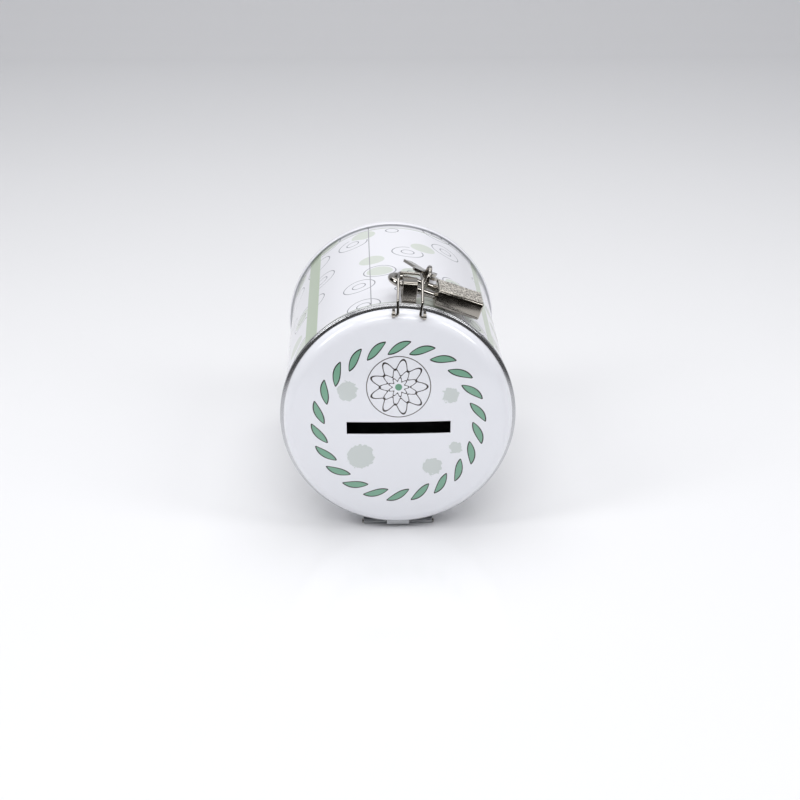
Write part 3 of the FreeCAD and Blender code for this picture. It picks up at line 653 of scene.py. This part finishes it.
CROWN_CENTRE = Vector((0, (RIM_Y + LID_TOP + CROWN_R) * MM, AXIS_Z * MM))
UNDER_SHARE = 0.6        # share of the sheet that tells the crown's inside from its outside
CROWN_FACE_SHARE = 0.95  # share of the face's radius that takes the crown's own normals
CROWN_FACING = 0.8       # least cosine between a crown face and the crown's radius


def inside_of_lid(face):
    if from_axis(face.center) >= FACE_R:
        return False
    under = (face.center - CROWN_CENTRE).length < (CROWN_R - SHEET * UNDER_SHARE) * MM
    return under and face.normal.y > 0


def even_normals(mesh):
    # Keeps the crowned face smooth right up to the slot's edges.
    normals = []
    corner_normals = [Vector(item.vector) for item in mesh.corner_normals]
    for face in mesh.polygons:
        for loop in face.loop_indices:
            point = mesh.vertices[mesh.loops[loop].vertex_index].co
            outward = (point - CROWN_CENTRE).normalized()
            on_crown = from_axis(point) < FACE_R * CROWN_FACE_SHARE
            if on_crown and abs(face.normal.dot(outward)) > CROWN_FACING:
                normals.append(outward if face.normal.dot(outward) > 0 else -outward)
            elif on_crown:
                normals.append(face.normal.copy())
            else:
                normals.append(corner_normals[loop])
    mesh.normals_split_custom_set(normals)


# Hasp

def build_hasp():
    slope = math.tan(PADLOCK_SLOPE)
    shackle_top = SHACKLE_R + SHACKLE_WIRE / math.cos(PADLOCK_SLOPE)
    top = shackle_top + STAPLE_WIDTH / 2 * slope + TUNNEL_GAP + STAPLE_STRIP
    half = STAPLE_STRIP / 2
    corners = [(STAPLE_TAIL, STAPLE_FOOT + half), (STAPLE_FRONT + half, STAPLE_FOOT + half),
               (STAPLE_FRONT + half, top - half), (STAPLE_BACK - half, top - half),
               (STAPLE_BACK - half, STAPLE_FOOT + STAPLE_STRIP)]
    path = rounded([Vector((0, y, r)) for y, r in corners], 3 * [STAPLE_BEND])
    staple = bent_strip("hasp_staple_strip", path, STAPLE_WIDTH, STAPLE_STRIP, HASP)
    finish_piece(staple, NICKEL, "can", "nickel", "hasp_staple")

    over = shackle_top + BAIL_HALF * slope + BAIL_CLEAR + BAIL_WIRE
    run = [Vector((BAIL_TIP, *BAIL_PIVOT)), Vector((BAIL_HALF, *BAIL_PIVOT)),
           Vector((BAIL_HALF, BAIL_PIVOT[0] + BAIL_WIRE, BEAD_R + BAIL_OVER_BEAD)),
           Vector((BAIL_HALF, SHACKLE_Y - SHACKLE_WIRE, over)), Vector((BAIL_HALF, BAIL_BACK, over))]
    run += [Vector((-point.x, point.y, point.z)) for point in reversed(run)]
    bends = [BAIL_TIP_BEND] + 6 * [BAIL_BEND] + [BAIL_TIP_BEND]
    bail = wire("hasp_wire_loop", rounded(run, bends), BAIL_WIRE, HASP)
    finish_piece(bail, WIRE, "bail", "wire", "hasp_bail")


# Padlock

def build_padlock():
    middle = SHACKLE_SPAN / 2
    path = [Vector((CASE_START + SHORT_LEG, 0, 0))]
    for y, x in arc((middle, 0), middle, 180, 0, SHACKLE_STEPS):
        path.append(Vector((-BEND_REACH - x, y, 0)))
    path.append(Vector((CASE_START + LONG_LEG, SHACKLE_SPAN, 0)))
    shackle = wire("shackle_bow", path, SHACKLE_WIRE, PADLOCK, SHACKLE_SIDES)
    finish_piece(shackle, WIRE, "shackle_loop", "wire", "shackle")

    # Stations along the case: rounded top edge, rounded bottom edge, then the recess for the cap.
    stations = []
    for step in range(CASE_EDGE_STEPS + 1):
        angle = math.radians(90 - 90 * step / CASE_EDGE_STEPS)
        inset = CASE_EDGE * (1 - math.cos(angle))
        stations.append((CASE_START + CASE_EDGE * (1 - math.sin(angle)), inset))
    for step in range(CASE_EDGE_STEPS + 1):
        angle = math.radians(90 * step / CASE_EDGE_STEPS)
        inset = CASE_EDGE * (1 - math.cos(angle)) * CASE_LIP_SHARE
        stations.append((CASE_END - CASE_EDGE * (1 - math.sin(angle)), inset))
    stations += [(CASE_END, CASE_SHEET), (CASE_END - CASE_LIP, CASE_SHEET)]
    bm = bmesh.new()
    rings = []
    for x, inset in stations:
        outline = rounded_rectangle(CASE_WIDTH / 2, CASE_THICK / 2, CASE_ROUND, inset)
        rings.append([bm.verts.new((x, middle + y, z)) for y, z in outline])
    skin(bm, rings)
    case = place("padlock_case_shell", bm, PADLOCK, CASE_SMOOTH)
    case.data.materials.append(NICKEL)
    outward = (PADLOCK.to_3x3() @ Vector((0, 0, 1))).normalized()
    second_material(case, PEBBLED, lambda face: abs(face.normal.dot(outward)) > BROAD_FACING)
    finish_piece(case, NICKEL, "padlock", "nickel", "padlock_case")


def build_ring():
    # Split ring of two close turns.
    path = []
    for step in range(RING_STEPS + 1):
        angle = 2 * math.pi * RING_TURNS * step / RING_STEPS
        side = (step / RING_STEPS - 0.5) * RING_SHIFT * RING_WIRE
        path.append(Vector((RING_AT[0] + side, RING_AT[1] + RING_R * math.cos(angle),
                            RING_AT[2] + RING_R * math.sin(angle))))
    ring = wire("key_split_ring", path, RING_WIRE, PADLOCK, RING_SIDES)
    finish_piece(ring, WIRE, "ring", "wire", "key_ring")


build_can()
build_lid()
build_hasp()
build_padlock()
build_ring()

# Solids that are shown as they are, with their materials
SHOWN_CAD = {
    "lid_collar": TIN, "hinge_can_leaf": TIN, "hinge_lid_leaf": TIN,
    "hinge_rivets": NICKEL, "hinge_pin": NICKEL,
    "staple_rivets": NICKEL, "bail_lugs": NICKEL, "padlock_core": BRASS, "padlock_cap": NICKEL,
    "lock_plug": BRASS, "latch_bolt": WIRE, "latch_spring": WIRE, "key_one": NICKEL, "key_two": NICKEL,
}
for node, material in SHOWN_CAD.items():
    node_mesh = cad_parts[node].data
    node_mesh.materials.clear()
    node_mesh.materials.append(material)


# Stage

# Lengths from here on are in metres. The floor stops before the camera, so that the metal mirrors the
# dark room there.
FLOOR_FRONT = -0.27
FLOOR_BACK = 0.9
FLOOR_HALF = 2.5
SWEEP_R = 0.5
SWEEP_STEPS = 12
WALL_TOP = 2.4
SENSOR = 36.0
LENS = 70.2
NEAR_CLIP = 0.01
# Camera: place in millimetres from the rim's centre, turn to the side and tilt down
CAMERA_FROM_RIM = (-15.05, -529.04, 229.40)
CAMERA_PAN = math.radians(-1.71)
CAMERA_TILT = math.radians(22.89)


def backdrop():
    # Floor that curves up into a wall far behind.
    bm = bmesh.new()
    profile = [(FLOOR_FRONT, 0.0), (FLOOR_BACK, 0.0)]
    for step in range(1, SWEEP_STEPS + 1):
        angle = math.radians(90 * step / SWEEP_STEPS)
        profile.append((FLOOR_BACK + SWEEP_R * math.sin(angle), SWEEP_R * (1 - math.cos(angle))))
    profile.append((FLOOR_BACK + SWEEP_R, WALL_TOP))
    rows = [[bm.verts.new((x, y, z)) for x in (-FLOOR_HALF, FLOOR_HALF)] for y, z in profile]
    for one, two in zip(rows, rows[1:]):
        bm.faces.new((one[0], one[1], two[1], two[0]))
    mesh = bpy.data.meshes.new("backdrop_sweep")
    bm.to_mesh(mesh)
    bm.free()
    mesh.shade_smooth()
    sweep = bpy.data.objects.new("backdrop_sweep", mesh)
    bpy.context.scene.collection.objects.link(sweep)
    sweep.data.materials.append(floor_white())


def softbox(name, at, towards, width, height, watts):
    light = bpy.data.lights.new(name, "AREA")
    light.shape = "RECTANGLE"
    light.size = width
    light.size_y = height
    light.energy = watts
    lamp = bpy.data.objects.new(name, light)
    bpy.context.scene.collection.objects.link(lamp)
    lamp.location = at
    lamp.rotation_euler = (Vector(towards) - Vector(at)).to_track_quat("-Z", "Y").to_euler()


def camera():
    # Station and lens come from a fit to the photograph.
    data = bpy.data.cameras.new("photo_camera")
    data.sensor_width = SENSOR
    data.lens = LENS
    data.clip_start = NEAR_CLIP
    obj = bpy.data.objects.new("photo_camera", data)
    bpy.context.scene.collection.objects.link(obj)
    turn = Matrix.Rotation(CAMERA_PAN, 4, "Z") @ Matrix.Rotation(math.pi / 2 - CAMERA_TILT, 4, "X")
    station = (Vector(CAMERA_FROM_RIM) + CAN.translation) * MM
    obj.matrix_world = Matrix.Translation(station) @ turn
    bpy.context.scene.camera = obj


backdrop()
camera()
softbox("top_softbox", at=(0.0, 0.2, 0.9), towards=(0, 0.05, 0.05),
        width=0.9, height=0.6, watts=3.6)
softbox("front_softbox", at=(0.0, -0.75, 0.95), towards=(0, -0.05, 0.05),
        width=0.8, height=0.3, watts=2.7)
softbox("left_softbox", at=(-0.6, -0.3, 0.62), towards=(0, -0.03, 0.05),
        width=0.22, height=0.4, watts=1.7)
softbox("right_softbox", at=(0.6, -0.3, 0.62), towards=(0, -0.03, 0.05),
        width=0.22, height=0.4, watts=1.4)

# Pale light from all round, but dark where a surface mirrors the room.
ROOM_LIGHT = "B0B1B5"
ROOM_DARK = "1C1A18"
world = bpy.data.worlds.new("studio")
world.use_nodes = True
room = world.node_tree
mirrored = add(room, "ShaderNodeLightPath").outputs["Is Glossy Ray"]
room_colour = mix(room, mirrored, colour(ROOM_LIGHT), colour(ROOM_DARK))
room.links.new(room_colour, room.nodes["Background"].inputs["Color"])
scene = bpy.context.scene
scene.world = world
scene.view_settings.view_transform = "Standard"
